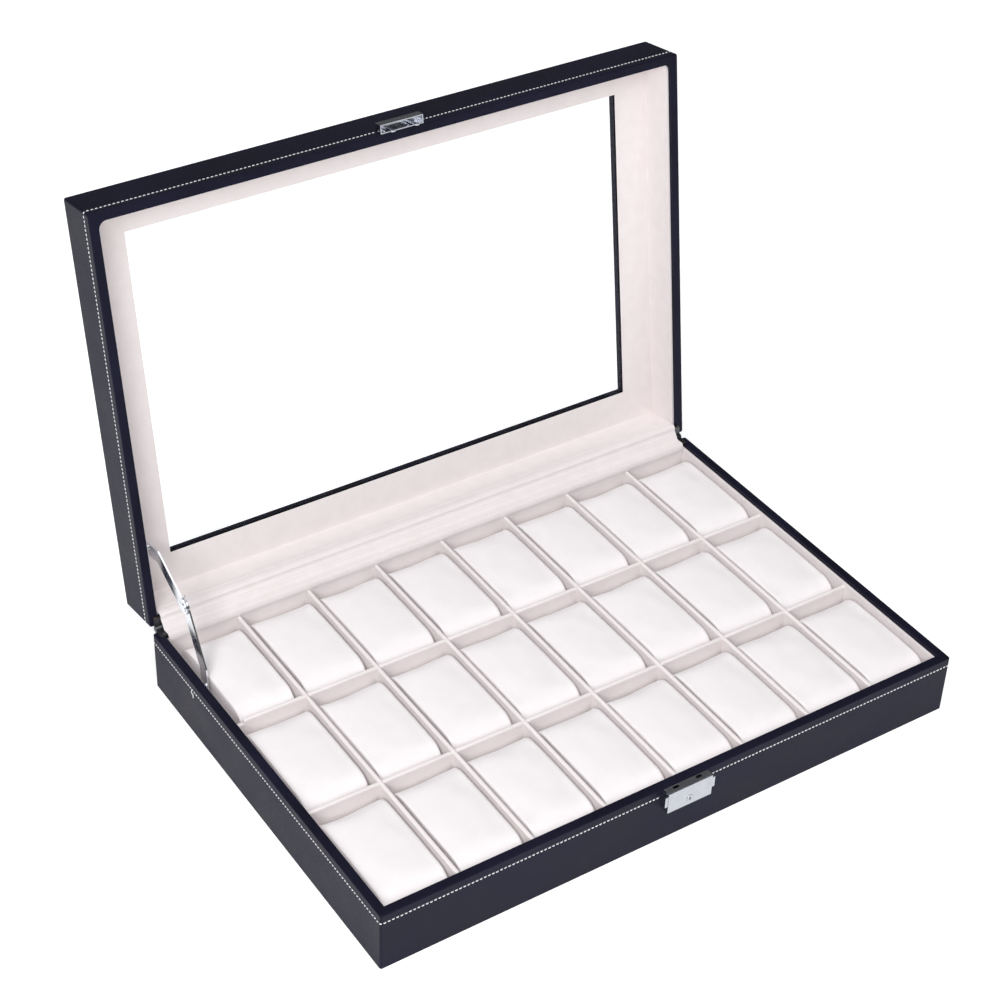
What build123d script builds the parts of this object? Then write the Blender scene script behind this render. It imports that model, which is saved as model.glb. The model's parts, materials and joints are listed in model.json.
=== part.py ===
from build123d import *
import math
import os

# Watch box with its lid open. Millimetres, X to the right, Y to the back, Z up.
# The origin is the centre of the underside, and the front wall faces -Y.

# Driving dimensions
WIDTH = 450.0
DEPTH = 300.0
BASE_HEIGHT = 46.0
LID_HEIGHT = 37.0
LID_GAP = 0.1
COLUMNS = 8
ROWS = ("front", "middle", "back")
OPEN_ANGLE = 98.8

# Sheet and board thicknesses
LEATHER = 0.8
BOARD = 4.6
LINING = 1.6
BOTTOM_BOARD = 3.0
TOP_RAIL = 3.5
GLASS = 1.6
DIVIDER = 3.0
METAL = 0.8
STRIP = 0.8

# Edges of the leather wrap
CORNER_RADIUS = 1.6
RIM_RADIUS = 1.0
TOP_RADIUS = 0.8
TURN_DEPTH = 16.0

# Window in the lid
WINDOW_SIDE = 34.0
WINDOW_FRONT = 30.0
WINDOW_BACK = 33.0
WINDOW_TURN = 8.0
GLASS_BORDER = 12.0
PANEL_FACE = 8.0
LINING_REVEAL = 3.0
INNER_CORNER = 4.0

# Levels
TOTAL_HEIGHT = BASE_HEIGHT + LID_HEIGHT
FLOOR_TOP = LEATHER + BOTTOM_BOARD + LINING
DIVIDER_TOP = 41.0
LAP_LEVEL = (FLOOR_TOP + DIVIDER_TOP) / 2
RAIL_BOTTOM = TOTAL_HEIGHT - LEATHER - TOP_RAIL
GLASS_TOP = RAIL_BOTTOM - LEATHER
PANEL_BOTTOM = TOTAL_HEIGHT - PANEL_FACE

LID_BOTTOM = BASE_HEIGHT + LID_GAP

# Insets from the outer faces
BOARD_INNER = LEATHER + BOARD
TURN_INNER = BOARD_INNER + LEATHER
WALL = TURN_INNER + LINING
FRONT = -DEPTH / 2

# Continuous hinge
HINGE_Y = DEPTH / 2 + 2.7
HINGE_Z = BASE_HEIGHT
HINGE_HALF = 222.0
HINGE_AXIS = Axis((0, HINGE_Y, HINGE_Z), (1, 0, 0))
KNUCKLE_PAIRS = 12
KNUCKLE_RADIUS = 2.4
KNUCKLE_GAP = 0.3
PIN_RADIUS = 1.0
PIN_CLEARANCE = 0.06
LEAF = 0.9
LEAF_GAP = 0.1
LEAF_INSET = 5.2
STRIP_DROP = 4.8
STRIP_REACH = 8.5
STRIP_GAP = 0.3

# Countersunk wood screws, all alike
SCREW_LENGTH = 5.4
SCREW_RADIUS = 1.1
SCREW_HEAD = 1.9
SCREW_HEAD_HEIGHT = 0.8
HINGE_SCREW_X = (-200.0, -120.0, -40.0, 40.0, 120.0, 200.0)

# Lock on the front of the base
LOCK_HALF = 17.4
LOCK_BOTTOM = 28.6
LOCK_TOP = 45.0
LOCK_REACH = 5.6
FACE_PLATE = 0.6
EAR_HALF = 19.7
EAR_BOTTOM = 34.2
EAR_TOP = 42.6
LOCK_SCREW_X = 12.0
LOCK_SCREW_Z = 35.0
PLUG_Z = 34.0
PLUG_RADIUS = 2.4
PLUG_PROUD = 0.2
PLUG_END = 2.6
SLEEVE_WALL = 0.8
RUN_CLEARANCE = 0.06
KEYHOLE_RADIUS = 0.7
KEYHOLE_WIDTH = 0.7
KEYHOLE_DROP = 2.0
KEYHOLE_DEPTH = 2.4

# Cam pin on the plug, which slides the lock bar
CAM_ARM = 1.5
CAM_RADIUS = 0.6
CAM_DISC = 0.6
CAM_SLOT_CLEARANCE = 0.15
BAR_SHIFT = CAM_ARM * math.sin(math.radians(45))
BAR_HALF = 15.2
BAR_BOTTOM = 42.9
BAR_TOP = 44.0
BAR_FRONT = 4.6
BAR_BACK = 0.9
LEG_HALF = 3.5
LEG_BACK = 1.0
LEG_BOTTOM = 33.0
LEDGE_X = 13.2
LEDGE_TOP = 42.8

# Catch on the front of the lid, with two barbed prongs
CATCH_HALF = 16.4
CATCH_BOTTOM = 46.4
CATCH_TOP = 52.7
CATCH_REACH = 6.4
CATCH_SCREW_X = 4.0
CATCH_SCREW_Z = 49.8
PRONG_X = 9.15
PRONG_Y = 2.2
PRONG_THICK = 1.2
PRONG_SHANK = 1.8
PRONG_BARB = 1.8
PRONG_TIP = 41.2
BARB_HEIGHT = 1.4
SLOT_CLEARANCE = 0.5

# Folding stay on the left wall: a parallelogram with the hinge axis
STAY_FOOT = (99.2, 31.4)
STAY_ARM = (22.8, 52.4)
STAY_ELBOW = (100.7, 46.3)
STAY_CRANK = (157.8, 102.3)
LINK_WIDTH = 9.4
LINK_THICK = 1.2
LINK_GAP = 0.2
KNEE_RADIUS = 5.0
LOWER_LINK_X = -212.6
STUD_RADIUS = 1.5
STUD_CLEARANCE = 0.1
KNEE_CLEARANCE = 0.25
HEAD_RADIUS = 3.0
HEAD_THICK = 0.3
STOP_ALONG = 5.0
STOP_RADIUS = 0.8
PLATE = 1.0
PLATE_HALF_Y = 5.0
PLATE_HALF_Z = 8.0
POST_RADIUS = 2.6
RELIEF_DEPTH = 3.4
RELIEF_LENGTH = 6.4
KNEE = (STAY_FOOT[0] + STAY_ARM[0], STAY_FOOT[1] + STAY_ARM[1])
STAY_HEAD = (HINGE_Y + STAY_ARM[0], HINGE_Z + STAY_ARM[1])
UPPER_LINK_X = LOWER_LINK_X - LINK_GAP - LINK_THICK

# Watch pillows
PILLOW_SIDE_GAP = 2.0
PILLOW_END_GAP = 2.0
PILLOW_LIFT_OFF = 0.2
STAY_PILLOW_LEFT = -210.6
PILLOW_TOP = 40.0
PILLOW_END_RADIUS = 15.0
PILLOW_EDGE = 2.0


def block(x0, x1, y0, y1, z0, z1):
    """A box between two corners."""
    middle = Pos((x0 + x1) / 2, (y0 + y1) / 2, (z0 + z1) / 2)
    return middle * Box(x1 - x0, y1 - y0, z1 - z0)


def slab(inset, z0, z1, radius=0.0):
    """A full-plan block, set in from the outer walls on all sides."""
    wide, deep = WIDTH - 2 * inset, DEPTH - 2 * inset
    plan = RectangleRounded(wide, deep, radius) if radius else Rectangle(wide, deep)
    return Pos(0, 0, z0) * extrude(plan, z1 - z0)


def at_level(shape, z):
    """The edges of a shape that lie flat at one height."""
    return shape.edges().filter_by_position(Axis.Z, z - 0.01, z + 0.01)


def opened(shape):
    """Swings a piece of the closed lid back to where the lid stands open."""
    return shape.rotate(HINGE_AXIS, -OPEN_ANGLE)


def swung(y, z, angle):
    """A point in the YZ plane, turned about the hinge axis."""
    turn = math.radians(angle)
    dy, dz = y - HINGE_Y, z - HINGE_Z
    return (HINGE_Y + dy * math.cos(turn) - dz * math.sin(turn),
            HINGE_Z + dy * math.sin(turn) + dz * math.cos(turn))


def leaf_recess(z0, z1):
    """The room for the hinge leaves in the back rim."""
    inner = DEPTH / 2 - TURN_INNER - 0.2
    return block(-HINGE_HALF, HINGE_HALF, inner, DEPTH / 2 + 1, z0, z1)


def four_walls(ring, inset, thickness):
    """Cuts a ring of wall into a front, back, left and right board."""
    x, y = WIDTH / 2 - inset, DEPTH / 2 - inset
    low, high = -1.0, TOTAL_HEIGHT + 1
    return {
        "front": ring & block(-x, x, -y, -y + thickness, low, high),
        "back": ring & block(-x, x, y - thickness, y, low, high),
        "left": ring & block(-x, -x + thickness, -y + thickness, y - thickness, low, high),
        "right": ring & block(x - thickness, x, -y + thickness, y - thickness, low, high),
    }


def lining_walls(z0, z1):
    """Four lining cards that stand against the walls, front and back ones full width."""
    ring = slab(TURN_INNER, z0, z1) - slab(WALL, z0 - 1, z1 + 1)
    return Compound(children=list(four_walls(ring, TURN_INNER, LINING).values()))


# Base


def base_board_ring():
    ring = slab(LEATHER, LEATHER, BASE_HEIGHT - LEATHER, CORNER_RADIUS - LEATHER)
    return ring - slab(BOARD_INNER, 0, BASE_HEIGHT)


def base_leather_wrap():
    wrap = slab(0, 0, BASE_HEIGHT, CORNER_RADIUS)
    wrap = fillet(at_level(wrap, BASE_HEIGHT), RIM_RADIUS)
    wrap -= slab(TURN_INNER, -1, BASE_HEIGHT + 1)
    wrap -= slab(BOARD_INNER, -1, BASE_HEIGHT - TURN_DEPTH)
    wrap -= slab(LEATHER, -1, LEATHER, CORNER_RADIUS - LEATHER)
    return wrap - base_board_ring() - leaf_recess(HINGE_Z - LEAF - LEAF_GAP, HINGE_Z + 1)


def base_boards():
    ring = base_board_ring() - leaf_recess(HINGE_Z - LEAF - LEAF_GAP, HINGE_Z + 1)
    return four_walls(ring, LEATHER, BOARD)


def column_lines():
    """X of each column divider."""
    clear = WIDTH - 2 * WALL
    pitch = (clear + DIVIDER) / COLUMNS
    return [pitch * (i - COLUMNS / 2) for i in range(1, COLUMNS)]


def row_lines():
    """Y of each row divider."""
    clear = DEPTH - 2 * WALL
    pitch = (clear + DIVIDER) / len(ROWS)
    return [pitch * (i - len(ROWS) / 2) for i in range(1, len(ROWS))]


def divider(x0, x1, y0, y1):
    """A velvet-covered card on edge, with its long top edges rounded."""
    card = block(x0, x1, y0, y1, FLOOR_TOP, DIVIDER_TOP)
    axis = Axis.X if x1 - x0 > y1 - y0 else Axis.Y
    return fillet(at_level(card, DIVIDER_TOP).filter_by(axis), DIVIDER * 0.4)


def row_dividers():
    """Cards that run left to right, slotted from above, relieved for the stay's knee."""
    half = WIDTH / 2 - WALL
    relief = block(-half - 1, -half + RELIEF_LENGTH, row_lines()[-1] - DIVIDER,
                   row_lines()[-1] + DIVIDER, DIVIDER_TOP - RELIEF_DEPTH, DIVIDER_TOP + 1)
    slots = [block(x - DIVIDER / 2, x + DIVIDER / 2, -DEPTH, DEPTH, LAP_LEVEL, DIVIDER_TOP + 1)
             for x in column_lines()]
    cards = [divider(-half, half, y - DIVIDER / 2, y + DIVIDER / 2) - slots - relief
             for y in row_lines()]
    return Compound(children=cards)


def column_dividers():
    """Cards that run front to back, slotted from below."""
    half = DEPTH / 2 - WALL
    slots = [block(-WIDTH, WIDTH, y - DIVIDER / 2, y + DIVIDER / 2, 0, LAP_LEVEL)
             for y in row_lines()]
    cards = [divider(x - DIVIDER / 2, x + DIVIDER / 2, -half, half) - slots
             for x in column_lines()]
    return Compound(children=cards)


# Lid, modelled closed


def window(grow, z0, z1):
    """The window opening, grown on all sides."""
    x = WIDTH / 2 - WINDOW_SIDE + grow
    front = -DEPTH / 2 + WINDOW_FRONT - grow
    back = DEPTH / 2 - WINDOW_BACK + grow
    return block(-x, x, front, back, z0, z1)


def front_corner_fills(radius, inset, z0, z1):
    """Fills that round the two front inner corners of the walls."""
    x, y = WIDTH / 2 - inset, FRONT + inset
    fills = []
    for side in (-1, 1):
        corner = block(*sorted((side * x, side * (x - radius))), y, y + radius, z0, z1)
        middle = Pos(side * (x - radius), y + radius, (z0 + z1) / 2)
        fills.append(corner - middle * Cylinder(radius, z1 - z0 + 2))
    return fills


def lid_wall_linings():
    """Lining cards with rounded corners at the front."""
    low = LID_BOTTOM + LINING_REVEAL
    cards = lining_walls(low, PANEL_BOTTOM)
    return Compound(children=[*cards.solids(), *front_corner_fills(INNER_CORNER, WALL, low, PANEL_BOTTOM)])


def lid_wall_ring():
    ring = slab(LEATHER, LID_BOTTOM + LEATHER, RAIL_BOTTOM, CORNER_RADIUS - LEATHER)
    return ring - slab(BOARD_INNER, BASE_HEIGHT, RAIL_BOTTOM + 1)


def lid_top_board():
    board = slab(LEATHER, RAIL_BOTTOM, TOTAL_HEIGHT - LEATHER, CORNER_RADIUS - LEATHER)
    return board - window(LEATHER, RAIL_BOTTOM - 1, TOTAL_HEIGHT)


def lid_leather_wrap():
    """Leather over the walls, the rim and its inner turn, the top and the window edge."""
    wrap = slab(0, LID_BOTTOM, TOTAL_HEIGHT, CORNER_RADIUS)
    wrap = fillet(at_level(wrap, TOTAL_HEIGHT), TOP_RADIUS)
    wrap = fillet(at_level(wrap, LID_BOTTOM), RIM_RADIUS)
    wrap -= slab(TURN_INNER, BASE_HEIGHT, GLASS_TOP)
    wrap -= slab(BOARD_INNER, LID_BOTTOM + TURN_DEPTH, GLASS_TOP)
    wrap -= slab(BOARD_INNER, GLASS_TOP, RAIL_BOTTOM) - window(WINDOW_TURN, GLASS_TOP, RAIL_BOTTOM)
    wrap -= window(0, BASE_HEIGHT, TOTAL_HEIGHT + 1)
    wrap += front_corner_fills(INNER_CORNER + LINING, TURN_INNER, LID_BOTTOM, LID_BOTTOM + LINING_REVEAL)
    wrap -= lid_wall_ring()
    wrap -= lid_top_board()
    return wrap - leaf_recess(LID_BOTTOM - 1, LID_BOTTOM + LEAF)


def lid_boards():
    ring = lid_wall_ring() - leaf_recess(LID_BOTTOM - 1, LID_BOTTOM + LEAF)
    return four_walls(ring, LEATHER, BOARD)


def lid_top_rails():
    """Two side rails the full depth, with a front and a back rail between them."""
    board = lid_top_board()
    x = WIDTH / 2 - WINDOW_SIDE + LEATHER
    low, high = RAIL_BOTTOM - 1, TOTAL_HEIGHT
    spans = ((-WIDTH, -x, -DEPTH, DEPTH), (x, WIDTH, -DEPTH, DEPTH), (-x, x, -DEPTH, 0), (-x, x, 0, DEPTH))
    return Compound(children=[board & block(*span, low, high) for span in spans])


def window_glass():
    return window(GLASS_BORDER, GLASS_TOP - GLASS, GLASS_TOP)


def window_panel():
    """The velvet-covered panel that holds the glass from inside."""
    panel = slab(BOARD_INNER, PANEL_BOTTOM, RAIL_BOTTOM)
    panel -= window(WINDOW_TURN, GLASS_TOP, RAIL_BOTTOM + 1)
    panel -= window(0, PANEL_BOTTOM - 1, RAIL_BOTTOM + 1)
    return panel - window(GLASS_BORDER, GLASS_TOP - GLASS, RAIL_BOTTOM + 1)


# Screws and hinge


def screw():
    """A countersunk wood screw, head up, its face at the origin."""
    shank = Pos(0, 0, -SCREW_LENGTH / 2) * Cylinder(SCREW_RADIUS, SCREW_LENGTH)
    head = Pos(0, 0, -SCREW_HEAD_HEIGHT / 2) * Cone(SCREW_RADIUS, SCREW_HEAD, SCREW_HEAD_HEIGHT)
    return shank + head


def hinge_screws(z, up):
    """A row of screws through a hinge leaf, driven up into the lid or down into the base."""
    turn = Rot(180, 0, 0) if up else Rot(0, 0, 0)
    y = DEPTH / 2 - LEATHER - BOARD / 2
    return [Pos(x, y, z) * turn * screw() for x in HINGE_SCREW_X]


def front_screws(x, y, z):
    """A pair of screws driven back into the front wall."""
    return [Pos(side * x, y, z) * Rot(90, 0, 0) * screw() for side in (-1, 1)]


def hinge_leaf(z0, z1, first, bore_radius):
    """A leaf with every second knuckle of the barrel."""
    edge = HINGE_Y - KNUCKLE_RADIUS - KNUCKLE_GAP
    leaf = block(-HINGE_HALF, HINGE_HALF, DEPTH / 2 - LEAF_INSET, edge, z0, z1)
    length = HINGE_HALF / KNUCKLE_PAIRS
    for index in range(first, 2 * KNUCKLE_PAIRS, 2):
        x0 = -HINGE_HALF + index * length + KNUCKLE_GAP / 2
        x1 = x0 + length - KNUCKLE_GAP
        barrel = Rot(0, 90, 0) * Cylinder(KNUCKLE_RADIUS, x1 - x0)
        leaf += Pos((x0 + x1) / 2, HINGE_Y, HINGE_Z) * barrel
        leaf += block(x0, x1, edge, HINGE_Y - bore_radius - 0.3, z0, z1)
    return leaf - Pos(0, HINGE_Y, HINGE_Z) * Rot(0, 90, 0) * Cylinder(bore_radius, WIDTH)


def hinge_pin():
    return Pos(0, HINGE_Y, HINGE_Z) * Rot(0, 90, 0) * Cylinder(PIN_RADIUS, 2 * HINGE_HALF)


def hinge_strip():
    """The velvet that covers the hinge inside, from the base lining to the lid lining."""
    turn, lining = DEPTH / 2 - TURN_INNER, DEPTH / 2 - WALL
    off = STRIP / 2 + STRIP_GAP
    base_points = [(lining - off, BASE_HEIGHT - STRIP_DROP),
                   (lining - off, BASE_HEIGHT - LINING_REVEAL),
                   (turn - off, BASE_HEIGHT + off),
                   (DEPTH / 2 - LINING, BASE_HEIGHT + off),
                   (HINGE_Y - KNUCKLE_RADIUS, HINGE_Z + KNUCKLE_RADIUS + off)]
    lid_points = [(turn + KNUCKLE_RADIUS, LID_BOTTOM - off), (turn - off, LID_BOTTOM - off),
                  (lining - off, LID_BOTTOM + LINING_REVEAL), (lining - off, LID_BOTTOM + STRIP_REACH)]
    points = base_points + [swung(y, z, -OPEN_ANGLE) for y, z in lid_points]
    width = WIDTH - 2 * (WALL + STRIP_GAP)
    return Pos(-width / 2, 0, 0) * extrude(Plane.YZ * trace(Polyline(*points), STRIP), width)


# Lock and catch


def front_disc(radius, x, z, y0, y1):
    """A round piece that lies along Y."""
    return Pos(x, (y0 + y1) / 2, z) * Rot(90, 0, 0) * Cylinder(radius, y1 - y0)


def prong_slots(x_shift, z0, z1, clearance):
    """Room for both prongs."""
    wide = (PRONG_SHANK + PRONG_BARB) / 2 + clearance
    deep = PRONG_THICK / 2 + clearance
    return [block(x + x_shift - wide, x + x_shift + wide, FRONT - PRONG_Y - deep,
                  FRONT - PRONG_Y + deep, z0, z1) for x in (-PRONG_X, PRONG_X)]


def lock_case():
    """A folded metal box that is open in front, with the plug's sleeve and the bar's ledges."""
    face = FRONT - LOCK_REACH
    case = block(-LOCK_HALF, LOCK_HALF, face, FRONT, LOCK_BOTTOM, LOCK_TOP)
    case -= block(-LOCK_HALF + METAL, LOCK_HALF - METAL, face + METAL, FRONT - METAL,
                  LOCK_BOTTOM + METAL, LOCK_TOP - METAL)
    case += front_disc(PLUG_RADIUS + SLEEVE_WALL, 0, PLUG_Z, face, FRONT - PLUG_END)
    case -= front_disc(PLUG_RADIUS + RUN_CLEARANCE, 0, PLUG_Z, face - 1, FRONT - PLUG_END)
    for side in (-1, 1):
        ends = sorted((side * LEDGE_X, side * (LOCK_HALF - METAL / 2)))
        case += block(*ends, face + METAL / 2, FRONT - METAL / 2, LEDGE_TOP - METAL, LEDGE_TOP)
    case -= prong_slots(0, LOCK_TOP - METAL - 0.1, LOCK_TOP + 1, SLOT_CLEARANCE)
    return case - lock_screws()


def lock_front_plate():
    """The bright face of the lock, with a set-back ear at each end."""
    face = FRONT - LOCK_REACH
    plate = block(-LOCK_HALF, LOCK_HALF, face - FACE_PLATE, face, LOCK_BOTTOM, LOCK_TOP)
    ears = block(-EAR_HALF, EAR_HALF, face - FACE_PLATE / 3, face + FACE_PLATE, EAR_BOTTOM, EAR_TOP)
    ears -= block(-LOCK_HALF, LOCK_HALF, face, FRONT, LOCK_BOTTOM, LOCK_TOP)
    return plate + ears - front_disc(PLUG_RADIUS + RUN_CLEARANCE, 0, PLUG_Z, face - 1, FRONT)


def lock_screws():
    return Compound(children=front_screws(LOCK_SCREW_X, FRONT - METAL, LOCK_SCREW_Z))


def lock_plug():
    """The plug with its keyhole in front and its cam pin behind, the pin up and to the right."""
    face = FRONT - LOCK_REACH - FACE_PLATE - PLUG_PROUD
    back = FRONT - PLUG_END + CAM_DISC
    plug = front_disc(PLUG_RADIUS, 0, PLUG_Z, face, back)
    keyhole = front_disc(KEYHOLE_RADIUS, 0, PLUG_Z, face, face + KEYHOLE_DEPTH)
    keyhole += block(-KEYHOLE_WIDTH / 2, KEYHOLE_WIDTH / 2, face, face + KEYHOLE_DEPTH,
                     PLUG_Z - KEYHOLE_DROP, PLUG_Z)
    pin = front_disc(CAM_RADIUS, BAR_SHIFT, PLUG_Z + BAR_SHIFT, back, FRONT - LEG_BACK)
    return plug - keyhole + pin


def lock_bar():
    """The sliding bar that goes over the prongs' barbs, with a slotted leg for the cam pin."""
    x = BAR_SHIFT
    bar = block(x - BAR_HALF, x + BAR_HALF, FRONT - BAR_FRONT, FRONT - BAR_BACK, BAR_BOTTOM, BAR_TOP)
    bar += block(x - LEG_HALF, x + LEG_HALF, FRONT - LEG_BACK - METAL, FRONT - LEG_BACK,
                 LEG_BOTTOM, BAR_BOTTOM)
    half = CAM_RADIUS + CAM_SLOT_CLEARANCE
    bar -= block(x - half, x + half, FRONT - LOCK_REACH, FRONT,
                 PLUG_Z + BAR_SHIFT - half, PLUG_Z + CAM_ARM + half)
    return bar - prong_slots(0, BAR_BOTTOM - 1, BAR_TOP + 1, SLOT_CLEARANCE)


def prong(x):
    """A prong with its barb at the tip, pointing right."""
    left = x - (PRONG_SHANK + PRONG_BARB) / 2
    right = left + PRONG_SHANK
    outline = Polyline((left, CATCH_TOP - METAL / 2), (left, PRONG_TIP + METAL), (left + METAL, PRONG_TIP),
                       (right + PRONG_BARB - METAL, PRONG_TIP),
                       (right + PRONG_BARB, PRONG_TIP + BARB_HEIGHT), (right, PRONG_TIP + BARB_HEIGHT),
                       (right, CATCH_TOP - METAL / 2), close=True)
    return Pos(0, FRONT - PRONG_Y + PRONG_THICK / 2, 0) * extrude(Plane.XZ * make_face(outline), PRONG_THICK)


def lock_catch():
    """A box that is open below, with a back flange and the two prongs inside."""
    face = FRONT - CATCH_REACH
    catch = block(-CATCH_HALF, CATCH_HALF, face, FRONT, CATCH_BOTTOM, CATCH_TOP)
    catch -= block(-CATCH_HALF + METAL, CATCH_HALF - METAL, face + METAL, FRONT - METAL,
                   CATCH_BOTTOM - 1, CATCH_TOP - METAL)
    for x in (-PRONG_X, PRONG_X):
        catch += prong(x)
    return catch - catch_screws()


def catch_screws():
    return Compound(children=front_screws(CATCH_SCREW_X, FRONT - METAL, CATCH_SCREW_Z))


# Folding stay


def link(points, x, ends):
    """A stamped link: a strip along some points, wider round its first and last ones."""
    shape = trace(Polyline(*points), LINK_WIDTH)
    shape += [Pos(*point) * Circle(LINK_WIDTH / 2) for point in points]
    shape += [Pos(*point) * Circle(radius) for point, radius in zip((points[0], points[-1]), ends)]
    return Pos(x, 0, 0) * extrude(Plane.YZ * shape, LINK_THICK)


def side_disc(radius, point, x0, x1):
    """A round piece that lies along X."""
    return Pos((x0 + x1) / 2, point[0], point[1]) * Rot(0, 90, 0) * Cylinder(radius, x1 - x0)


def stay_lower_link():
    """The link from the base to the knee, with a folded tab that stops the upper link."""
    body = link([STAY_FOOT, STAY_ELBOW, KNEE], LOWER_LINK_X, (KNEE_RADIUS, KNEE_RADIUS))
    tab = stop_tab()
    ear = trace(Line(KNEE, tab), 2 * STOP_RADIUS) + Pos(*tab) * Circle(STOP_RADIUS)
    body += Pos(LOWER_LINK_X, 0, 0) * extrude(Plane.YZ * ear, LINK_THICK)
    body += side_disc(STOP_RADIUS, tab, UPPER_LINK_X, LOWER_LINK_X)
    body -= side_disc(STUD_RADIUS + STUD_CLEARANCE, STAY_FOOT, UPPER_LINK_X, 0)
    return body - side_disc(STUD_RADIUS, KNEE, UPPER_LINK_X, 0)


def stop_tab():
    """Where the stop tab stands, against the upper edge of the open upper link."""
    along = Vector(STAY_CRANK[0] - KNEE[0], STAY_CRANK[1] - KNEE[1]).normalized()
    across = Vector(-along.Y, along.X)
    place = Vector(*KNEE) + along * STOP_ALONG + across * (LINK_WIDTH / 2 + STOP_RADIUS + STUD_CLEARANCE)
    return (place.X, place.Y)


def stay_upper_link():
    """The cranked link from the knee to the lid."""
    body = link([KNEE, STAY_CRANK, STAY_HEAD], UPPER_LINK_X, (KNEE_RADIUS, KNEE_RADIUS))
    body -= side_disc(STUD_RADIUS + KNEE_CLEARANCE, KNEE, -WIDTH, 0)
    return body - side_disc(STUD_RADIUS + STUD_CLEARANCE, STAY_HEAD, -WIDTH, 0)


def stay_knee_rivet():
    """A rivet tight in the lower link and loose in the upper one."""
    left, right = UPPER_LINK_X - STUD_CLEARANCE, LOWER_LINK_X + LINK_THICK
    rivet = side_disc(STUD_RADIUS, KNEE, left, right)
    rivet += side_disc(HEAD_RADIUS, KNEE, left - HEAD_THICK, left)
    return rivet + side_disc(HEAD_RADIUS, KNEE, right, right + HEAD_THICK)


def stay_bracket(point, link_x):
    """A plate on the wall lining with a headed stud for one end of the stay."""
    wall = -WIDTH / 2 + WALL
    plate = block(wall, wall + PLATE, point[0] - PLATE_HALF_Y, point[0] + PLATE_HALF_Y,
                  point[1] - PLATE_HALF_Z, point[1] + PLATE_HALF_Z)
    plate = fillet(plate.edges().filter_by(Axis.X), PLATE_HALF_Y / 2)
    head = link_x + LINK_THICK + STUD_CLEARANCE
    plate += side_disc(POST_RADIUS, point, wall + PLATE / 2, link_x - STUD_CLEARANCE)
    plate += side_disc(STUD_RADIUS, point, wall + PLATE, head)
    return plate + side_disc(HEAD_RADIUS, point, head, head + HEAD_THICK)


# Watch pillows


def cell(row, column):
    """The plan of one pillow: its four sides, clear of the dividers and the stay."""
    pitch_x = (WIDTH - 2 * WALL + DIVIDER) / COLUMNS
    pitch_y = (DEPTH - 2 * WALL + DIVIDER) / len(ROWS)
    x0 = -WIDTH / 2 + WALL + column * pitch_x + PILLOW_SIDE_GAP
    x1 = x0 + pitch_x - DIVIDER - 2 * PILLOW_SIDE_GAP
    y0 = -DEPTH / 2 + WALL + row * pitch_y + PILLOW_END_GAP
    y1 = y0 + pitch_y - DIVIDER - 2 * PILLOW_END_GAP
    beside_stay = column == 0 and row == len(ROWS) - 1
    return (STAY_PILLOW_LEFT if beside_stay else x0), x1, y0, y1


def pillow(row, column):
    """A cushion with flat sides and well-rounded ends, for a strap to close round."""
    x0, x1, y0, y1 = cell(row, column)
    low = FLOOR_TOP + PILLOW_LIFT_OFF
    body = block(x0, x1, y0, y1, low, PILLOW_TOP)
    body = fillet(body.edges().filter_by(Axis.X), PILLOW_END_RADIUS)
    side_edges = body.faces().filter_by(Axis.X).edges()
    return fillet(side_edges, PILLOW_EDGE)


def base_pieces():
    boards = base_boards()
    screws = hinge_screws(HINGE_Z - LEAF_GAP, up=False)
    leaf = hinge_leaf(HINGE_Z - LEAF_GAP - LEAF, HINGE_Z - LEAF_GAP, 0, PIN_RADIUS)
    fasteners = front_screws(LOCK_SCREW_X, FRONT - METAL, LOCK_SCREW_Z)
    return {
        "base_leather_wrap": base_leather_wrap() - fasteners,
        "base_front_board": boards["front"] - fasteners,
        "base_back_board": boards["back"] - screws,
        "base_side_boards": Compound(children=[boards["left"], boards["right"]]),
        "base_bottom_board": slab(BOARD_INNER, LEATHER, LEATHER + BOTTOM_BOARD),
        "base_underside_cover": slab(LEATHER, 0, LEATHER, CORNER_RADIUS - LEATHER),
        "base_floor_lining": slab(BOARD_INNER, FLOOR_TOP - LINING, FLOOR_TOP),
        "base_wall_linings": lining_walls(FLOOR_TOP, BASE_HEIGHT - LINING_REVEAL),
        "row_dividers": row_dividers(),
        "column_dividers": column_dividers(),
        "hinge_base_leaf": leaf - screws,
        "hinge_base_screws": Compound(children=screws),
        "hinge_pin": hinge_pin(),
        "hinge_strip": hinge_strip(),
        "stay_base_bracket": stay_bracket(STAY_FOOT, LOWER_LINK_X),
        "lock_case": lock_case(),
        "lock_front_plate": lock_front_plate(),
        "lock_screws": lock_screws(),
    }


def lid_pieces():
    """Everything on the lid, as it stands open."""
    boards = lid_boards()
    screws = hinge_screws(LID_BOTTOM, up=True)
    leaf = hinge_leaf(LID_BOTTOM, LID_BOTTOM + LEAF, 1, PIN_RADIUS + PIN_CLEARANCE)
    fasteners = front_screws(CATCH_SCREW_X, FRONT - METAL, CATCH_SCREW_Z)
    closed = {
        "lid_leather_wrap": lid_leather_wrap() - fasteners,
        "lid_front_board": boards["front"] - fasteners,
        "lid_back_board": boards["back"] - screws,
        "lid_side_boards": Compound(children=[boards["left"], boards["right"]]),
        "lid_top_rails": lid_top_rails(),
        "lid_wall_linings": lid_wall_linings(),
        "window_glass": window_glass(),
        "window_panel": window_panel(),
        "hinge_lid_leaf": leaf - screws,
        "hinge_lid_screws": Compound(children=screws),
        "lock_catch": lock_catch(),
        "catch_screws": catch_screws(),
        "stay_lid_bracket": stay_bracket(swung(*STAY_HEAD, OPEN_ANGLE), UPPER_LINK_X),
    }
    return {name: opened(piece) for name, piece in closed.items()}


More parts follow.
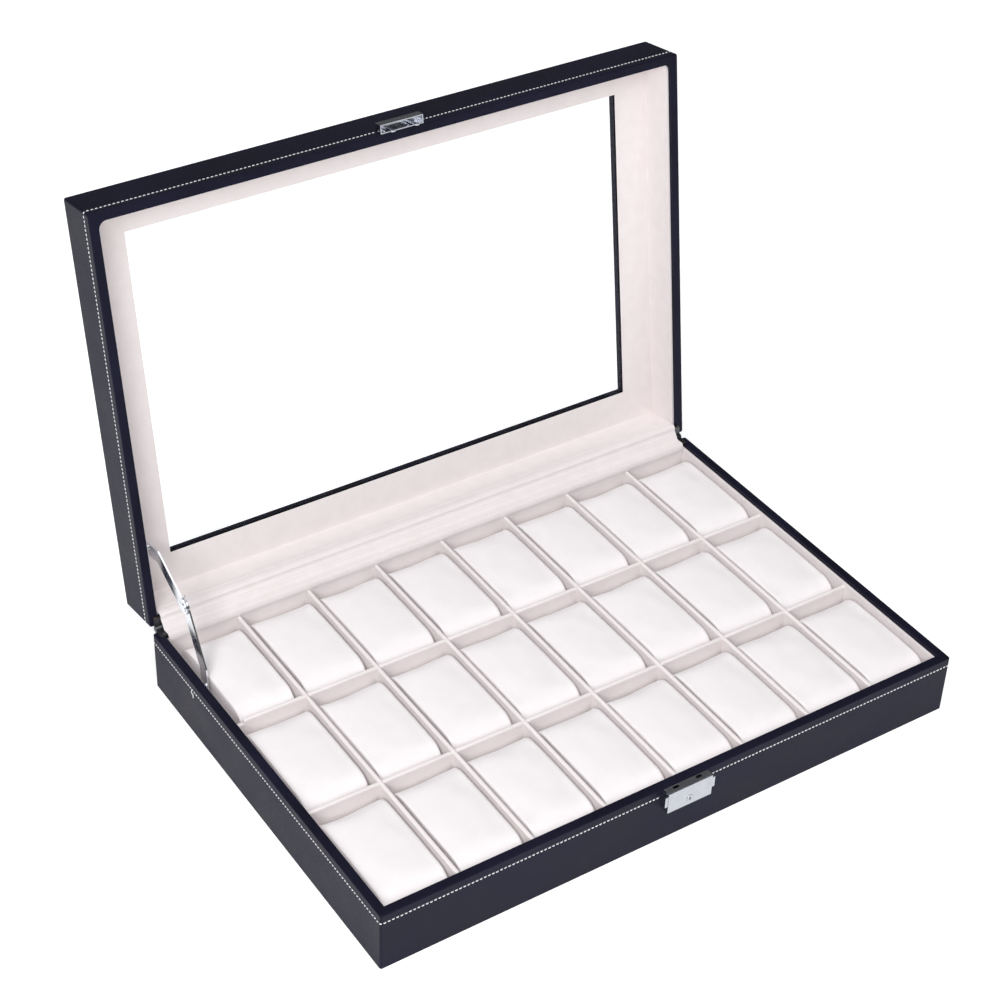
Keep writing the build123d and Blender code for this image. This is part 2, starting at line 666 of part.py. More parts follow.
def moving_pieces():
    pieces = {
        "lock_plug": lock_plug(),
        "lock_bar": lock_bar(),
        "stay_lower_link": stay_lower_link(),
        "stay_knee_rivet": stay_knee_rivet(),
        "stay_upper_link": stay_upper_link(),
    }
    for row in range(len(ROWS)):
        for column in range(COLUMNS):
            pieces[f"pillow_r{row + 1}_c{column + 1}"] = pillow(row, column)
    return pieces


def main():
    os.makedirs("parts", exist_ok=True)
    for name, piece in {**base_pieces(), **lid_pieces(), **moving_pieces()}.items():
        export_step(piece, f"parts/{name}.step")


main()
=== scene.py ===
import json
import math
import random

import bpy
from mathutils import Matrix, Vector, noise


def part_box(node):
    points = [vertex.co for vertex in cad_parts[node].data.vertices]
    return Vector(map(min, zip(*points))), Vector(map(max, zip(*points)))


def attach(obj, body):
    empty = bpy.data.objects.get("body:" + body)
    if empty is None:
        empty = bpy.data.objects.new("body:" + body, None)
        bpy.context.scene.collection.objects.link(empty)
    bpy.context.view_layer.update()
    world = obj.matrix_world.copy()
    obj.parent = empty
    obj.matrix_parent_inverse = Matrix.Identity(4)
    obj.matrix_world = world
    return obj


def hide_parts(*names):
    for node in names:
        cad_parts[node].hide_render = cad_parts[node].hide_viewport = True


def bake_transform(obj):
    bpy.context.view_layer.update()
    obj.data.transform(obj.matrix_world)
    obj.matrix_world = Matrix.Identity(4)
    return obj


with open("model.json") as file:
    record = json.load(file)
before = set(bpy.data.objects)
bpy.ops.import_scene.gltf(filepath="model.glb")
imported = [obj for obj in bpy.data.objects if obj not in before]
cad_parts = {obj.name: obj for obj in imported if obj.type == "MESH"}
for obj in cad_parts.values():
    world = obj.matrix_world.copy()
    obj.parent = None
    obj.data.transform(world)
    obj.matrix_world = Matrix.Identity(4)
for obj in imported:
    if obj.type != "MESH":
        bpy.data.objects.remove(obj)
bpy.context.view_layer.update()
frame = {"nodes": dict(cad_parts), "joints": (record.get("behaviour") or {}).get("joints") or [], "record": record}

# A watch box that stands open, in metres. X runs right, Y back and Z up, and the front wall faces -Y.

MM = 0.001
ROWS, COLUMNS = 3, 8

# Sizes read from the frame
BASE_LOW, BASE_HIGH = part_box("base_leather_wrap")
LID_JOINT = next(joint for joint in frame["joints"] if joint["name"] == "lid_hinge")
HINGE = Vector(LID_JOINT["pos_m"])
OPEN_ANGLE = math.radians(-LID_JOINT["range_deg"][0])
LID_BOTTOM = BASE_HIGH.z + 0.1 * MM

# Camera
VIEW_AZIMUTH = math.radians(-34.605)
VIEW_HEIGHT = math.radians(37.032)
VIEW_ROLL = math.radians(2.310)
VIEW_DISTANCE = 1.52253
VIEW_TARGET = Vector((-0.00861, 0.05709, 0.13580))
LENS = 82.036
SENSOR = 36.0

# Stitching
STITCH_FROM_RIM = 6.7 * MM
STITCH_PITCH = 2.95 * MM
STITCH_LENGTH = 2.25 * MM
STITCH_WIDTH = 0.50 * MM
STITCH_HEIGHT = 0.30 * MM
CORNER_RADIUS = 1.6 * MM
THREAD_END_Y = 0.093
LOCK_HALF = 17.4 * MM
CATCH_HALF = 16.4 * MM


# Small helpers


def closed_to_open():
    """The turn that carries the closed lid to where it stands open."""
    return (Matrix.Translation(HINGE) @ Matrix.Rotation(-OPEN_ANGLE, 4, "X")
            @ Matrix.Translation(-HINGE))


def new_object(name, mesh, body=None):
    """A new piece, carried by a body if one is given."""
    thing = bpy.data.objects.new(name, mesh)
    bpy.context.scene.collection.objects.link(thing)
    if body:
        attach(thing, body)
    return thing


def smooth(mesh):
    for face in mesh.polygons:
        face.use_smooth = True


def mesh_from(name, vertices, faces):
    mesh = bpy.data.meshes.new(name)
    mesh.from_pydata(vertices, [], faces)
    mesh.update()
    smooth(mesh)
    return mesh


def spaced(points, count):
    """Evenly spaced points along a line in the YZ plane, and the line's length."""
    lengths = [math.dist(a, b) for a, b in zip(points, points[1:])]
    total, result, index, walked = sum(lengths), [], 0, 0.0
    for step in range(count):
        target = total * step / (count - 1)
        while index < len(lengths) - 1 and walked + lengths[index] < target:
            walked += lengths[index]
            index += 1
        share = (target - walked) / lengths[index] if lengths[index] else 0.0
        (ya, za), (yb, zb) = points[index], points[index + 1]
        result.append((ya + (yb - ya) * share, za + (zb - za) * share))
    return result, total


# Materials


class Shader:
    """A node tree with short ways to add and join nodes."""

    def __init__(self, name):
        self.material = bpy.data.materials.new(name)
        self.material.use_nodes = True
        self.tree = self.material.node_tree
        self.surface = self.tree.nodes["Principled BSDF"]
        self.place = self.node("ShaderNodeTexCoord").outputs["Object"]

    def node(self, kind, links=None, values=None, **settings):
        made = self.tree.nodes.new(kind)
        for key, value in settings.items():
            setattr(made, key, value)
        for key, value in (values or {}).items():
            made.inputs[key].default_value = value
        for key, source in (links or {}).items():
            self.tree.links.new(source, made.inputs[key])
        return made

    def set(self, **values):
        for key, value in values.items():
            self.surface.inputs[key.replace("_", " ")].default_value = value

    def link(self, source, name):
        self.tree.links.new(source, self.surface.inputs[name])

    def noise(self, scale, detail=2.0, place=None, roughness=0.5):
        made = self.node("ShaderNodeTexNoise", {"Vector": place or self.place},
                         {"Scale": scale, "Detail": detail, "Roughness": roughness})
        return made.outputs["Fac"]

    def cells(self, scale, feature="F1", place=None):
        made = self.node("ShaderNodeTexVoronoi", {"Vector": place or self.place}, {"Scale": scale},
                         feature=feature)
        return made.outputs["Distance"]

    def stretched(self, factors):
        """The surface's own coordinates, scaled along each axis."""
        made = self.node("ShaderNodeMapping", {"Vector": self.place}, {"Scale": factors})
        return made.outputs["Vector"]

    def math(self, operation, first, second, clamp=False):
        made = self.node("ShaderNodeMath", operation=operation, use_clamp=clamp)
        for socket, value in zip(made.inputs, (first, second)):
            if isinstance(value, (int, float)):
                socket.default_value = value
            else:
                self.tree.links.new(value, socket)
        return made.outputs["Value"]

    def ramp(self, source, low, high, to_low, to_high):
        made = self.node("ShaderNodeMapRange", {"Value": source},
                         {"From Min": low, "From Max": high, "To Min": to_low, "To Max": to_high})
        return made.outputs["Result"]

    def mix(self, factor, first, second):
        made = self.node("ShaderNodeMix", {"Factor": factor}, data_type="RGBA")
        colours = [s for s in made.inputs if s.type == "RGBA"]
        for socket, value in zip(colours, (first, second)):
            if isinstance(value, tuple):
                socket.default_value = (*value, 1.0)
            else:
                self.tree.links.new(value, socket)
        return next(s for s in made.outputs if s.type == "RGBA")

    def bump(self, height, distance, strength=1.0, under=None):
        links = {"Height": height}
        if under is not None:
            links["Normal"] = under
        made = self.node("ShaderNodeBump", links, {"Distance": distance, "Strength": strength})
        return made.outputs["Normal"]


LEATHER_DARK = (0.0045, 0.0045, 0.0115)
LEATHER_LIGHT = (0.0080, 0.0080, 0.0200)
VELVET_LIGHT = (0.870, 0.815, 0.815)
VELVET_SHADE = (0.840, 0.782, 0.782)
PILLOW_LIGHT = (0.915, 0.882, 0.892)
PILLOW_SHADE = (0.895, 0.858, 0.866)
# The pillows' side panels: velvet painted darker and warmer than the tops, painted shade for the dark gaps beside
# the dividers.
SIDE_PAINTED_SHADE_LIGHT = (0.560, 0.480, 0.455)
SIDE_PAINTED_SHADE_DARK = (0.500, 0.420, 0.395)


def leather(name, on_lid):
    """Fine-grained leatherette, drawn in along the stitches, with worn, lighter high spots."""
    s = Shader(name)
    s.set(Metallic=0.0, Specular_IOR_Level=0.19, Coat_Weight=0.0,
          Specular_Tint=(0.60, 0.61, 1.0, 1.0))
    grain = s.cells(1150.0, "DISTANCE_TO_EDGE")
    creases = s.ramp(grain, 0.0, 0.22, 0.0, 1.0)
    soft = s.noise(420.0, 3.0)
    broad = s.noise(24.0, 3.0)
    wear = s.ramp(broad, 0.35, 0.68, 0.0, 1.0)
    s.link(s.mix(wear, LEATHER_DARK, LEATHER_LIGHT), "Base Color")
    rough = s.math("ADD", s.ramp(creases, 0.0, 1.0, 0.60, 0.47), s.ramp(broad, 0.3, 0.7, -0.04, 0.05))
    s.link(rough, "Roughness")
    place = s.place
    if on_lid:
        turned = Matrix.Rotation(OPEN_ANGLE, 3, "X")
        closed = {"Rotation": (OPEN_ANGLE, 0.0, 0.0), "Location": HINGE - turned @ HINGE}
        place = s.node("ShaderNodeMapping", {"Vector": s.place}, closed).outputs["Vector"]
    height = s.node("ShaderNodeSeparateXYZ", {"Vector": place}).outputs["Z"]
    line = LID_BOTTOM + STITCH_FROM_RIM if on_lid else BASE_HIGH.z - STITCH_FROM_RIM
    away = s.math("ABSOLUTE", s.math("SUBTRACT", height, line), 0.0)
    groove = s.node("ShaderNodeMapRange", {"Value": away},
                    {"From Min": 0.0, "From Max": 1.5 * MM, "To Min": 0.0, "To Max": 1.0},
                    interpolation_type="SMOOTHSTEP").outputs["Result"]
    drawn = s.bump(groove, 0.35 * MM, 0.8)
    grained = s.bump(creases, 0.045 * MM, 0.55, drawn)
    s.link(s.bump(soft, 0.10 * MM, 0.35, grained), "Normal")
    return s.material


def velvet(name, light, shade, sheen):
    """Short pile that lies a little unevenly, with a soft sheen."""
    s = Shader(name)
    s.set(Metallic=0.0, Specular_IOR_Level=0.12, Sheen_Weight=sheen, Sheen_Roughness=0.45,
          Sheen_Tint=(1.0, 0.98, 0.97, 1.0))
    nap = s.noise(110.0, 4.0)
    pile = s.noise(2600.0, 2.0)
    tufts = s.noise(900.0, 3.0)
    tone = s.math("ADD", s.math("MULTIPLY", nap, 0.75), s.math("MULTIPLY", pile, 0.25))
    s.link(s.mix(s.ramp(tone, 0.36, 0.64, 0.0, 1.0), shade, light), "Base Color")
    s.link(s.ramp(nap, 0.3, 0.7, 0.95, 0.84), "Roughness")
    tufted = s.bump(tufts, 0.14 * MM, 0.35)
    s.link(s.bump(pile, 0.06 * MM, 0.45, tufted), "Normal")
    return s.material


def metal(name, colour, rough, grain):
    """Plated metal with faint polishing marks and a few dull patches."""
    s = Shader(name)
    s.set(Metallic=1.0, Specular_IOR_Level=0.5)
    marks = s.noise(1400.0, 2.0, s.stretched((0.12, 1.0, 1.0)))
    dull = s.noise(160.0, 3.0)
    tone = s.ramp(dull, 0.3, 0.75, 0.0, 1.0)
    s.link(s.mix(tone, colour, tuple(c * 0.9 for c in colour)), "Base Color")
    polished = s.ramp(marks, 0.3, 0.7, rough, rough + grain)
    s.link(s.math("ADD", polished, s.ramp(dull, 0.4, 0.7, 0.0, 0.06)), "Roughness")
    s.link(s.bump(marks, 0.01 * MM, 0.3), "Normal")
    return s.material


def clear_glass():
    s = Shader("clear_glass")
    s.set(Transmission_Weight=1.0, IOR=1.12, Metallic=0.0)
    smudge = s.noise(14.0, 3.0)
    s.link(s.ramp(smudge, 0.45, 0.75, 0.0, 0.035), "Roughness")
    tone = s.ramp(smudge, 0.3, 0.7, 0.0, 1.0)
    s.link(s.mix(tone, (0.988, 0.992, 0.998), (0.982, 0.988, 0.997)), "Base Color")
    return s.material


def fibreboard():
    s = Shader("fibreboard")
    s.set(Specular_IOR_Level=0.2)
    fibre = s.noise(900.0, 4.0, s.stretched((1.0, 1.0, 3.0)))
    tone = s.ramp(fibre, 0.3, 0.7, 0.0, 1.0)
    s.link(s.mix(tone, (0.20, 0.13, 0.075), (0.34, 0.24, 0.15)), "Base Color")
    s.link(s.ramp(fibre, 0.3, 0.7, 0.92, 0.78), "Roughness")
    s.link(s.bump(fibre, 0.12 * MM, 0.6), "Normal")
    return s.material


def thread():
    """Pale twisted sewing thread."""
    s = Shader("thread")
    s.set(Specular_IOR_Level=0.25, Sheen_Weight=0.3)
    bands = {"Scale": 700.0, "Distortion": 0.6, "Detail": 1.0}
    twist = s.node("ShaderNodeTexWave", {"Vector": s.place}, bands, bands_direction="DIAGONAL").outputs["Fac"]
    s.link(s.mix(twist, (0.62, 0.62, 0.65), (0.92, 0.92, 0.94)), "Base Color")
    s.link(s.ramp(twist, 0.0, 1.0, 0.75, 0.55), "Roughness")
    s.link(s.bump(twist, 0.08 * MM, 0.6), "Normal")
    return s.material


def studio_floor():
    s = Shader("studio_floor")
    s.set(Specular_IOR_Level=0.1, Emission_Strength=0.45)
    s.set(Emission_Color=(1.0, 1.0, 1.0, 1.0))
    tone = s.noise(2.0, 2.0)
    s.link(s.mix(tone, (0.93, 0.93, 0.93), (0.95, 0.95, 0.95)), "Base Color")
    s.link(s.ramp(tone, 0.3, 0.7, 0.85, 0.95), "Roughness")
    return s.material


MATERIALS = {
    "black_leather": leather("black_leather", False),
    "lid_leather": leather("lid_leather", True),
    "cream_velvet": velvet("cream_velvet", VELVET_LIGHT, VELVET_SHADE, 0.28),
    "cream_pillow": velvet("cream_pillow", PILLOW_LIGHT, PILLOW_SHADE, 0.30),
    # Painted shade: a darker, warmer velvet for the pillows' side panels.
    "pillow_side_painted_shade": velvet("pillow_side_painted_shade", SIDE_PAINTED_SHADE_LIGHT, SIDE_PAINTED_SHADE_DARK, 0.15),
    "bright_nickel": metal("bright_nickel", (0.78, 0.80, 0.84), 0.09, 0.08),
    "lock_nickel": metal("lock_nickel", (0.47, 0.485, 0.525), 0.13, 0.10),
    "zinc_steel": metal("zinc_steel", (0.11, 0.115, 0.13), 0.24, 0.14),
    "clear_glass": clear_glass(),
    "fibreboard": fibreboard(),
    "thread": thread(),
}


def paint(thing, material):
    thing.data.materials.clear()
    thing.data.materials.append(MATERIALS[material])


# CAD nodes: a material each, and slightly broken edges where velvet or metal folds. The lid's leather
# and the lock's duller plating have a finish of their own.

EDGE_SOFTNESS = {"cream_velvet": 0.45 * MM, "bright_nickel": 0.12 * MM, "zinc_steel": 0.10 * MM}
OWN_FINISH = {
    "lid_leather_wrap": "lid_leather",
    "lock_case": "lock_nickel",
    "lock_front_plate": "lock_nickel",
    "lock_plug": "lock_nickel",
    "lock_catch": "lock_nickel",
}
UNBROKEN = ("hinge_pin", "lock_plug", "stay_knee_rivet")


def soften(thing, width):
    weld = thing.modifiers.new("weld", "WELD")
    weld.merge_threshold = 0.001 * MM
    edge = thing.modifiers.new("soft_edges", "BEVEL")
    edge.width = width
    edge.segments = 3
    edge.limit_method = "ANGLE"
    edge.angle_limit = math.radians(50)
    edge.use_clamp_overlap = True
    edge.harden_normals = True


def dress_cad_nodes():
    for entry in frame["record"]["subparts"]:
        name, slot = entry["node"], entry["material_slot"]
        thing = frame["nodes"][name]
        paint(thing, OWN_FINISH.get(name, slot))
        if slot in EDGE_SOFTNESS and name not in UNBROKEN:
            soften(thing, EDGE_SOFTNESS[slot])


# Stitching


def wall_path(inset):
    """Straight runs and corner arcs round the outer walls: (length, point and heading at a distance)."""
    half_x, half_y = BASE_HIGH.x - inset, BASE_HIGH.y - inset
    corners = [Vector((x * half_x, y * half_y, 0)) for x, y in ((-1, -1), (1, -1), (1, 1), (-1, 1))]
    radius = CORNER_RADIUS - inset
    pieces = []
    for here, there in zip(corners, corners[1:] + corners[:1]):
        along = (there - here).normalized()
        pieces.append(("run", here + along * radius, along, (there - here).length - 2 * radius))
        pieces.append(("arc", there - along * radius, along, radius * math.pi / 2))
    return pieces, radius


def place_on(path, distance):
    """The point and heading at a distance along the path."""
    pieces, radius = path
    for kind, start, along, length in pieces:
        if distance <= length:
            inward = Vector((-along.y, along.x, 0))
            if kind == "run":
                return start + along * distance, along
            turn = distance / radius
            centre = start + inward * radius
            spoke = -inward * math.cos(turn) + along * math.sin(turn)
            return centre + spoke * radius, along * math.cos(turn) + inward * math.sin(turn)
        distance -= length
    return pieces[0][1], pieces[0][2]


def add_stitch(vertices, faces, path, middle, length, z, tilt):
    """One dash of thread: a rounded bar that dips into the leather at both ends."""
    rings, sides = 7, 8
    first = len(vertices)
    for ring in range(rings):
        share = ring / (rings - 1) * 2 - 1
        spot, heading = place_on(path, middle + share * length / 2)
        out = Vector((heading.y, -heading.x, 0))
        fat = math.sqrt(max(0.0, 1 - abs(share) ** 3.2)) * 0.96 + 0.04
        dip = -STITCH_HEIGHT * 0.9 * share * share
        for side in range(sides):
            turn = 2 * math.pi * side / sides
            up = math.sin(turn) * STITCH_WIDTH * fat + tilt * share
            rise = math.cos(turn) * STITCH_HEIGHT * fat + dip
            vertices.append(spot + out * rise + Vector((0, 0, z + up)))
    for ring in range(rings - 1):
        for side in range(sides):
            a, b = first + ring * sides + side, first + ring * sides + (side + 1) % sides
            faces.append((a, b, b + sides, a + sides))
    faces.append(tuple(first + side for side in range(sides))[::-1])
    faces.append(tuple(first + (rings - 1) * sides + side for side in range(sides)))


def stitching(name, z, gap_half, seed):
    """A row of stitches round all four walls, with a gap behind the lock or catch."""
    chance = random.Random(seed)
    path = wall_path(-0.12 * MM)
    total = sum(piece[3] for piece in path[0])
    count = round(total / STITCH_PITCH)
    vertices, faces = [], []
    for index in range(count):
        middle = (index + 0.5) * total / count
        spot, _ = place_on(path, middle)
        if spot.y < 0 and abs(spot.x) < gap_half:
            continue
        length = STITCH_LENGTH * chance.uniform(0.93, 1.05)
        add_stitch(vertices, faces, path, middle, length, z + chance.gauss(0, 0.05 * MM),
                   chance.gauss(0.08, 0.03) * MM)
    return mesh_from(name, vertices, faces)


def build_stitching():
    base = stitching("base_stitching", BASE_HIGH.z - STITCH_FROM_RIM, LOCK_HALF + 3.5 * MM, 3)
    base.materials.append(MATERIALS["thread"])
    new_object("base_stitching", base, "base")
    lid = stitching("lid_stitching", LID_BOTTOM + STITCH_FROM_RIM, CATCH_HALF + 2.0 * MM, 4)
    lid.transform(closed_to_open())
    lid.materials.append(MATERIALS["thread"])
    new_object("lid_stitching", lid, "lid")


# Small loose pieces


def build_thread_end():
    """A short end of thread that sticks out of the left wall's stitching."""
    curve = bpy.data.curves.new("thread_end", "CURVE")
    curve.dimensions = "3D"
    curve.bevel_depth = 0.30 * MM
    curve.bevel_resolution = 3
    strand = curve.splines.new("BEZIER")
    points = ((0.0, 0.0, 0.0), (-0.9, -1.2, -1.2), (-0.6, -2.8, -3.0), (-1.0, -3.4, -4.6))
    strand.bezier_points.add(len(points) - 1)
    start = Vector((BASE_LOW.x, THREAD_END_Y, BASE_HIGH.z - STITCH_FROM_RIM))
    for point, offset in zip(strand.bezier_points, points):
        point.co = start + Vector(offset) * MM
        point.handle_left_type = point.handle_right_type = "AUTO"
    curve.materials.append(MATERIALS["thread"])
    new_object("thread_end", curve, "base")


# Pillows

PILLOW_END = 15.0 * MM
SEAM_INSET = 0.9 * MM
SIDE_INSET = 1.1 * MM
ACROSS = 12
OUTLINE_POINTS = 64
CAP = 2.4 * MM
CALMING = 7


def profile(low, high, inset):
    """Points round a pillow's side, evenly spaced: straight runs with round ends."""
    y0, y1, z0, z1 = low.y + inset, high.y - inset, low.z + inset, high.z - inset
    radius = PILLOW_END - inset
    corners = ((y1, z1, 90), (y0, z1, 180), (y0, z0, 270), (y1, z0, 360))
    points = []
    for y, z, angle in corners:
        cy = y - radius if y == y1 else y + radius
        cz = z - radius if z == z1 else z + radius
        for step in range(9):
            turn = math.radians(angle - 90 + step * 90 / 8)
            points.append((cy + radius * math.cos(turn), cz + radius * math.sin(turn)))
    return spaced(points + points[:1], OUTLINE_POINTS + 1)[0][:-1]


def pillow_mesh(name, low, high):
    """The sewn cover before it is filled: a band round the pillow and two flat side panels."""
    outline = profile(low, high, SEAM_INSET)
    x0, x1 = low.x + SIDE_INSET, high.x - SIDE_INSET
    count = len(outline)
    cy, cz = (low.y + high.y) / 2, (low.z + high.z) / 2
    flat = (high.y - low.y) - (high.z - low.z)
    vertices, faces, seams = [], [], set()
    for column in range(ACROSS + 1):
        x = x0 + (x1 - x0) * column / ACROSS
        for y, z in outline:
            if column in (0, ACROSS):
                seams.add(len(vertices))
            vertices.append((x, y, z))
    for column in range(ACROSS):
        for index in range(count):
            a, b = column * count + index, column * count + (index + 1) % count
            faces.append((a, b, b + count, a + count))
    for x, start, flip in ((x0, 0, True), (x1, ACROSS * count, False)):
        previous = [start + index for index in range(count)]
        for share in (0.82, 0.62, 0.40, 0.18):
            ring = []
            for y, z in outline:
                spine = max(-flat / 2, min(flat / 2, y - cy))
                ring.append(len(vertices))
                vertices.append((x, cy + spine + (y - cy - spine) * share, cz + (z - cz) * share))
            for index in range(count):
                a, b = previous[index], previous[(index + 1) % count]
                c, d = ring[(index + 1) % count], ring[index]
                faces.append((a, d, c, b) if flip else (a, b, c, d))
            previous = ring
        faces.append(tuple(previous) if not flip else tuple(previous[::-1]))
    mesh = mesh_from(name, vertices, faces)
    # Faces of the two side panels take the second material, which is painted shade.
    for face in mesh.polygons:
        face.material_index = int(face.index >= ACROSS * count)
    crease = mesh.attributes.new("crease_edge", "FLOAT", "EDGE")
    for edge in mesh.edges:
        if seams.issuperset(edge.vertices):
            crease.data[edge.index].value = 0.75
    return mesh, seams


def inflate(thing, seams):
    """Fills the cover: cloth under pressure, held at its seams, and never far from where it began."""
    start = [vertex.co.copy() for vertex in thing.data.vertices]
    held = thing.vertex_groups.new(name="held")
    held.add(sorted(seams), 0.85, "REPLACE")
    cloth = thing.modifiers.new("cloth", "CLOTH")
    settings = cloth.settings
    settings.use_pressure = True
    settings.uniform_pressure_force = 4.0
    settings.vertex_group_mass = "held"
    settings.pin_stiffness = 0.6
    settings.quality = 5
    settings.tension_stiffness = 12.0
    settings.bending_stiffness = 0.35
    settings.shrink_min = -0.022
    settings.effector_weights.gravity = 0.0
    scene = bpy.context.scene
    for step in range(1, 21):
        scene.frame_set(step)
    graph = bpy.context.evaluated_depsgraph_get()
    settled = [vertex.co.copy() for vertex in thing.evaluated_get(graph).data.vertices]
    thing.modifiers.remove(cloth)
    thing.vertex_groups.clear()
    scene.frame_set(1)
    steps = [(after - before).normalized() * min(CAP, (after - before).length)
             for before, after in zip(start, settled)]
    steps = calmed(thing.data, steps, seams)
    for vertex, before, step in zip(thing.data.vertices, start, steps):
        vertex.co = before + step


def calmed(mesh, steps, seams):
    """The same movement with most of its wrinkles pulled out, and little of it at the seams."""
    beside = [[] for _ in steps]
    for edge in mesh.edges:
        a, b = edge.vertices
        beside[a].append(b)
        beside[b].append(a)
    for _ in range(CALMING):
        steps = [step * 0.4 + sum((steps[other] for other in near), Vector()) * (0.6 / len(near))
                 for step, near in zip(steps, beside)]
    return [step * 0.35 if index in seams else step for index, step in enumerate(steps)]


def tidy_shape(mesh, seams, low, high, seed):
    """Lays the cover in its cell: slack folds, a fine ridge at the seams, and room all round."""
    offset = Vector((seed * 0.37, seed * 0.11, 0))
    for vertex in mesh.vertices:
        spot = vertex.co
        ripple = noise.noise(Vector((spot.x * 34, spot.y * 60, spot.z * 60)) + offset)
        fine = noise.noise(Vector((spot.x * 120, spot.y * 48, spot.z * 48)) - offset)
        away = Vector((0, spot.y - (low.y + high.y) / 2, spot.z - (low.z + high.z) / 2)).normalized()
        if vertex.index in seams:
            spot += away * 0.35 * MM
        else:
            spot += away * (ripple * 0.22 + fine * 0.08) * MM
        room = 0.35 * MM
        spot.x = min(max(spot.x, low.x - room), high.x + room)
        spot.y = min(max(spot.y, low.y - room), high.y + room)
        spot.z = min(max(spot.z, low.z), high.z + 1.2 * MM)


def build_pillows():
    """Four filled covers and a narrow one for beside the stay, laid turned about in the cells."""
    filled = {}
    for row in range(ROWS):
        for column in range(COLUMNS):
            node = f"pillow_r{row + 1}_c{column + 1}"
            low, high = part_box(node)
            width = round((high.x - low.x) / MM, 1)
            variant = (row * 3 + column * 5) % 4
            key = (width, variant)
            if key not in filled:
                filled[key] = (filled_cover(low, high, len(filled) + 1), (low + high) / 2)
            pattern, middle = filled[key]
            mesh = pattern.copy()
            half_turn = (row + column) % 2 == 1
            turn = Matrix.Rotation(math.pi if half_turn else 0.0, 4, "Z")
            mesh.transform(Matrix.Translation((low + high) / 2) @ turn @ Matrix.Translation(-middle))
            mesh.materials.clear()
            mesh.materials.append(MATERIALS["cream_pillow"])
            # Second material: the painted shade on the side panels.
            mesh.materials.append(MATERIALS["pillow_side_painted_shade"])
            piece = new_object(f"cushion_r{row + 1}_c{column + 1}", mesh, node)
            finer = piece.modifiers.new("finer", "SUBSURF")
            finer.levels = finer.render_levels = 1
            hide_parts(node)


def filled_cover(low, high, seed):
    mesh, seams = pillow_mesh(f"cover_{seed}", low, high)
    thing = bpy.data.objects.new(f"cover_{seed}", mesh)
    bpy.context.scene.collection.objects.link(thing)
    inflate(thing, seams)
    bpy.data.objects.remove(thing)
    tidy_shape(mesh, seams, low, high, seed)
    return mesh


# The velvet strip over the hinge

STRIP_COLUMNS = 140
STRIP_ROWS = 72
# Each pleat: where along the strip, how wide as a share of it, and how far it rises in millimetres
STRIP_PLEATS = ((0.20, 0.016, 0.30), (0.37, 0.012, -0.22), (0.52, 0.014, 0.28), (0.70, 0.014, -0.30),
                (0.80, 0.012, 0.26), (0.955, 0.022, 0.42))


def strip_route():
    """The strip's middle line in the YZ plane, as points of a smooth curve, from base to lid."""
    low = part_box("hinge_strip")[0]
    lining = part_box("base_wall_linings")[1].y - 1.6 * MM
    off = 0.7 * MM
    barrel = HINGE.z + 2.4 * MM
    turn_back = closed_to_open()
    fixed = [(lining - off, low.z), (lining - off, BASE_HIGH.z - 2.2 * MM),
             (lining + 0.9 * MM, BASE_HIGH.z + off), (lining + 6.2 * MM, BASE_HIGH.z + off + 0.1 * MM),
             (HINGE.y - 2.2 * MM, barrel + off)]
    on_lid = [(lining + 4.0 * MM, LID_BOTTOM - off), (lining + 0.9 * MM, LID_BOTTOM - off),
              (lining - off, LID_BOTTOM + 2.6 * MM), (lining - off, LID_BOTTOM + 8.5 * MM)]
    moved = [turn_back @ Vector((0, y, z)) for y, z in on_lid]
    return fixed + [(spot.y, spot.z) for spot in moved]


def smooth_route(points, count):
    """Evenly spaced points along a Catmull-Rom curve through these points."""
    ends = [points[0]] + points + [points[-1]]
    dense = []
    for p0, p1, p2, p3 in zip(ends, ends[1:], ends[2:], ends[3:]):
        for step in range(12):
            t = step / 12
            dense.append(tuple(0.5 * (2 * b + (c - a) * t + (2 * a - 5 * b + 4 * c - d) * t * t
                                      + (3 * b - a - 3 * c + d) * t ** 3)
                               for a, b, c, d in zip(p0, p1, p2, p3)))
    dense.append(points[-1])
    return spaced(dense, count)


def build_hinge_strip():
    low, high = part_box("hinge_strip")
    route, length = smooth_route(strip_route(), STRIP_ROWS)
    vertices, faces = [], []
    for column in range(STRIP_COLUMNS + 1):
        x = low.x + (high.x - low.x) * column / STRIP_COLUMNS
        for row, (y, z) in enumerate(route):
            share = row / (STRIP_ROWS - 1)
            loose = math.sin(math.pi * min(1.0, share * 1.25)) if share < 0.8 else 0.0
            wave = noise.noise(Vector((x * 16, share * 2.4, 1.7))) * 0.30
            wave += noise.noise(Vector((x * 60, share * 5.0, 8.1))) * 0.10
            y_before, z_before = route[max(row - 1, 0)]
            y_after, z_after = route[min(row + 1, STRIP_ROWS - 1)]
            along = Vector((0, y_after - y_before, z_after - z_before)).normalized()
            off = Vector((0, -along.z, along.y))
            pleat = sum(rise * math.exp(-((share - at) / wide) ** 2) for at, wide, rise in STRIP_PLEATS)
            vertices.append(Vector((x, y, z)) + off * ((0.12 + wave) * loose + pleat) * MM)
    for column in range(STRIP_COLUMNS):
        for row in range(STRIP_ROWS - 1):
            a = column * STRIP_ROWS + row
            faces.append((a, a + STRIP_ROWS, a + STRIP_ROWS + 1, a + 1))
    mesh = mesh_from("hinge_cover_strip", vertices, faces)
    mesh.materials.append(MATERIALS["cream_velvet"])
    piece = new_object("hinge_cover_strip", mesh)
    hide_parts("hinge_strip")
    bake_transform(piece)


# Camera, light and floor


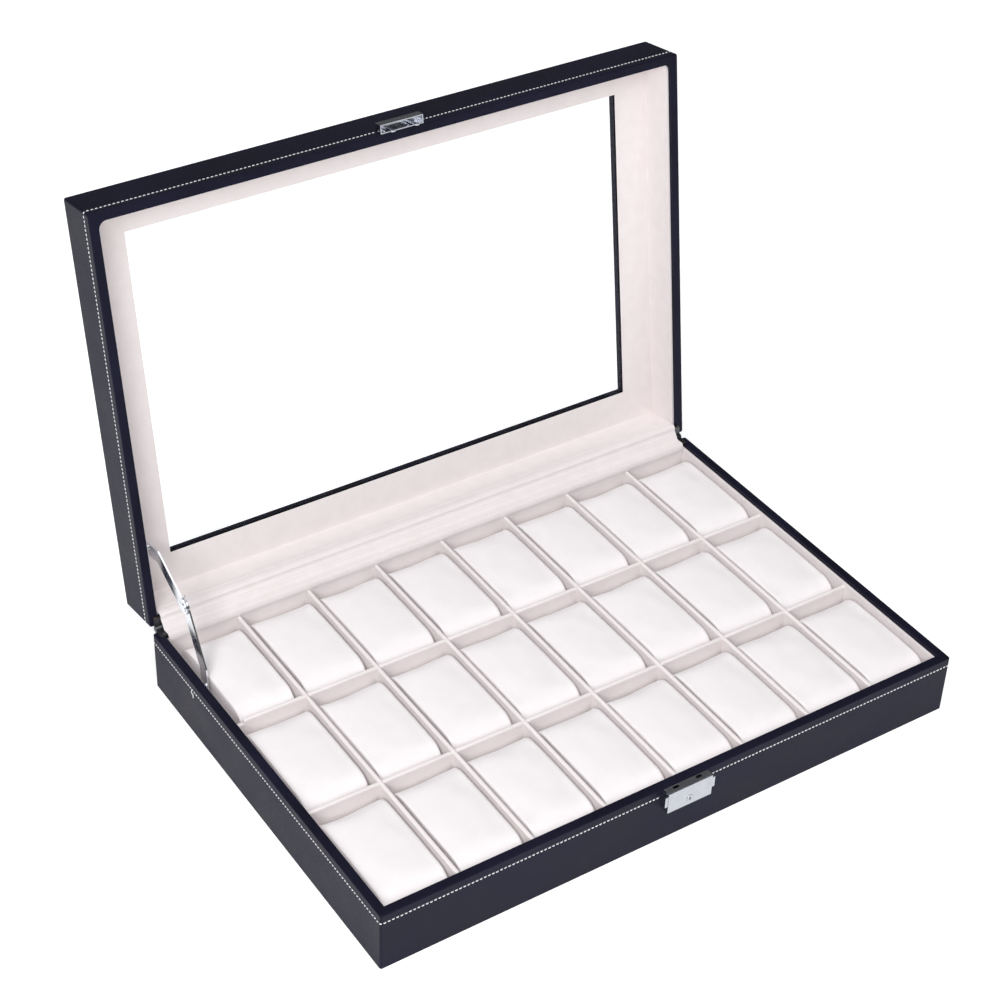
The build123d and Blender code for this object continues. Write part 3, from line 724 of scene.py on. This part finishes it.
def build_camera():
    flat = math.cos(VIEW_HEIGHT)
    back = Vector((math.sin(VIEW_AZIMUTH) * flat, -math.cos(VIEW_AZIMUTH) * flat, math.sin(VIEW_HEIGHT)))
    side = Vector((0, 0, 1)).cross(back).normalized()
    up = back.cross(side)
    right = side * math.cos(VIEW_ROLL) + up * math.sin(VIEW_ROLL)
    top = up * math.cos(VIEW_ROLL) - side * math.sin(VIEW_ROLL)
    data = bpy.data.cameras.new("camera")
    data.lens, data.sensor_width, data.sensor_fit = LENS, SENSOR, "HORIZONTAL"
    data.clip_start, data.clip_end = 0.05, 50.0
    camera = bpy.data.objects.new("camera", data)
    bpy.context.scene.collection.objects.link(camera)
    frame_matrix = Matrix((right, top, back)).transposed().to_4x4()
    camera.matrix_world = Matrix.Translation(VIEW_TARGET + back * VIEW_DISTANCE) @ frame_matrix
    bpy.context.scene.camera = camera


def area_light(name, spot, target, size, power, colour=(1.0, 1.0, 1.0)):
    data = bpy.data.lights.new(name, "AREA")
    data.shape = "RECTANGLE"
    data.size, data.size_y = size
    data.energy = power
    data.color = colour
    light = bpy.data.objects.new(name, data)
    bpy.context.scene.collection.objects.link(light)
    light.location = spot
    light.rotation_euler = (Vector(target) - Vector(spot)).to_track_quat("-Z", "Y").to_euler()
    return light


def build_studio():
    world = bpy.data.worlds.new("studio")
    bpy.context.scene.world = world
    world.use_nodes = True
    background = world.node_tree.nodes["Background"]
    background.inputs["Color"].default_value = (0.97, 0.98, 1.0, 1.0)
    background.inputs["Strength"].default_value = 0.13
    half = 14.0
    plane = mesh_from("floor", [(-half, -half, 0), (half, -half, 0), (half, half, 0), (-half, half, 0)],
                      [(0, 1, 2, 3)])
    plane.materials.append(studio_floor())
    floor = bpy.data.objects.new("floor", plane)
    bpy.context.scene.collection.objects.link(floor)
    middle = (0, 0, 0.1)
    area_light("top", (-0.2, -0.3, 2.6), (0, 0.3, 0), (3.4, 3.4), 61.0)
    area_light("key", (-1.7, -1.6, 1.7), middle, (1.2, 1.0), 40.0)
    bpy.context.scene.view_settings.view_transform = "Standard"


build_camera()
build_studio()
dress_cad_nodes()
build_stitching()
build_thread_end()
build_pillows()
build_hinge_strip()
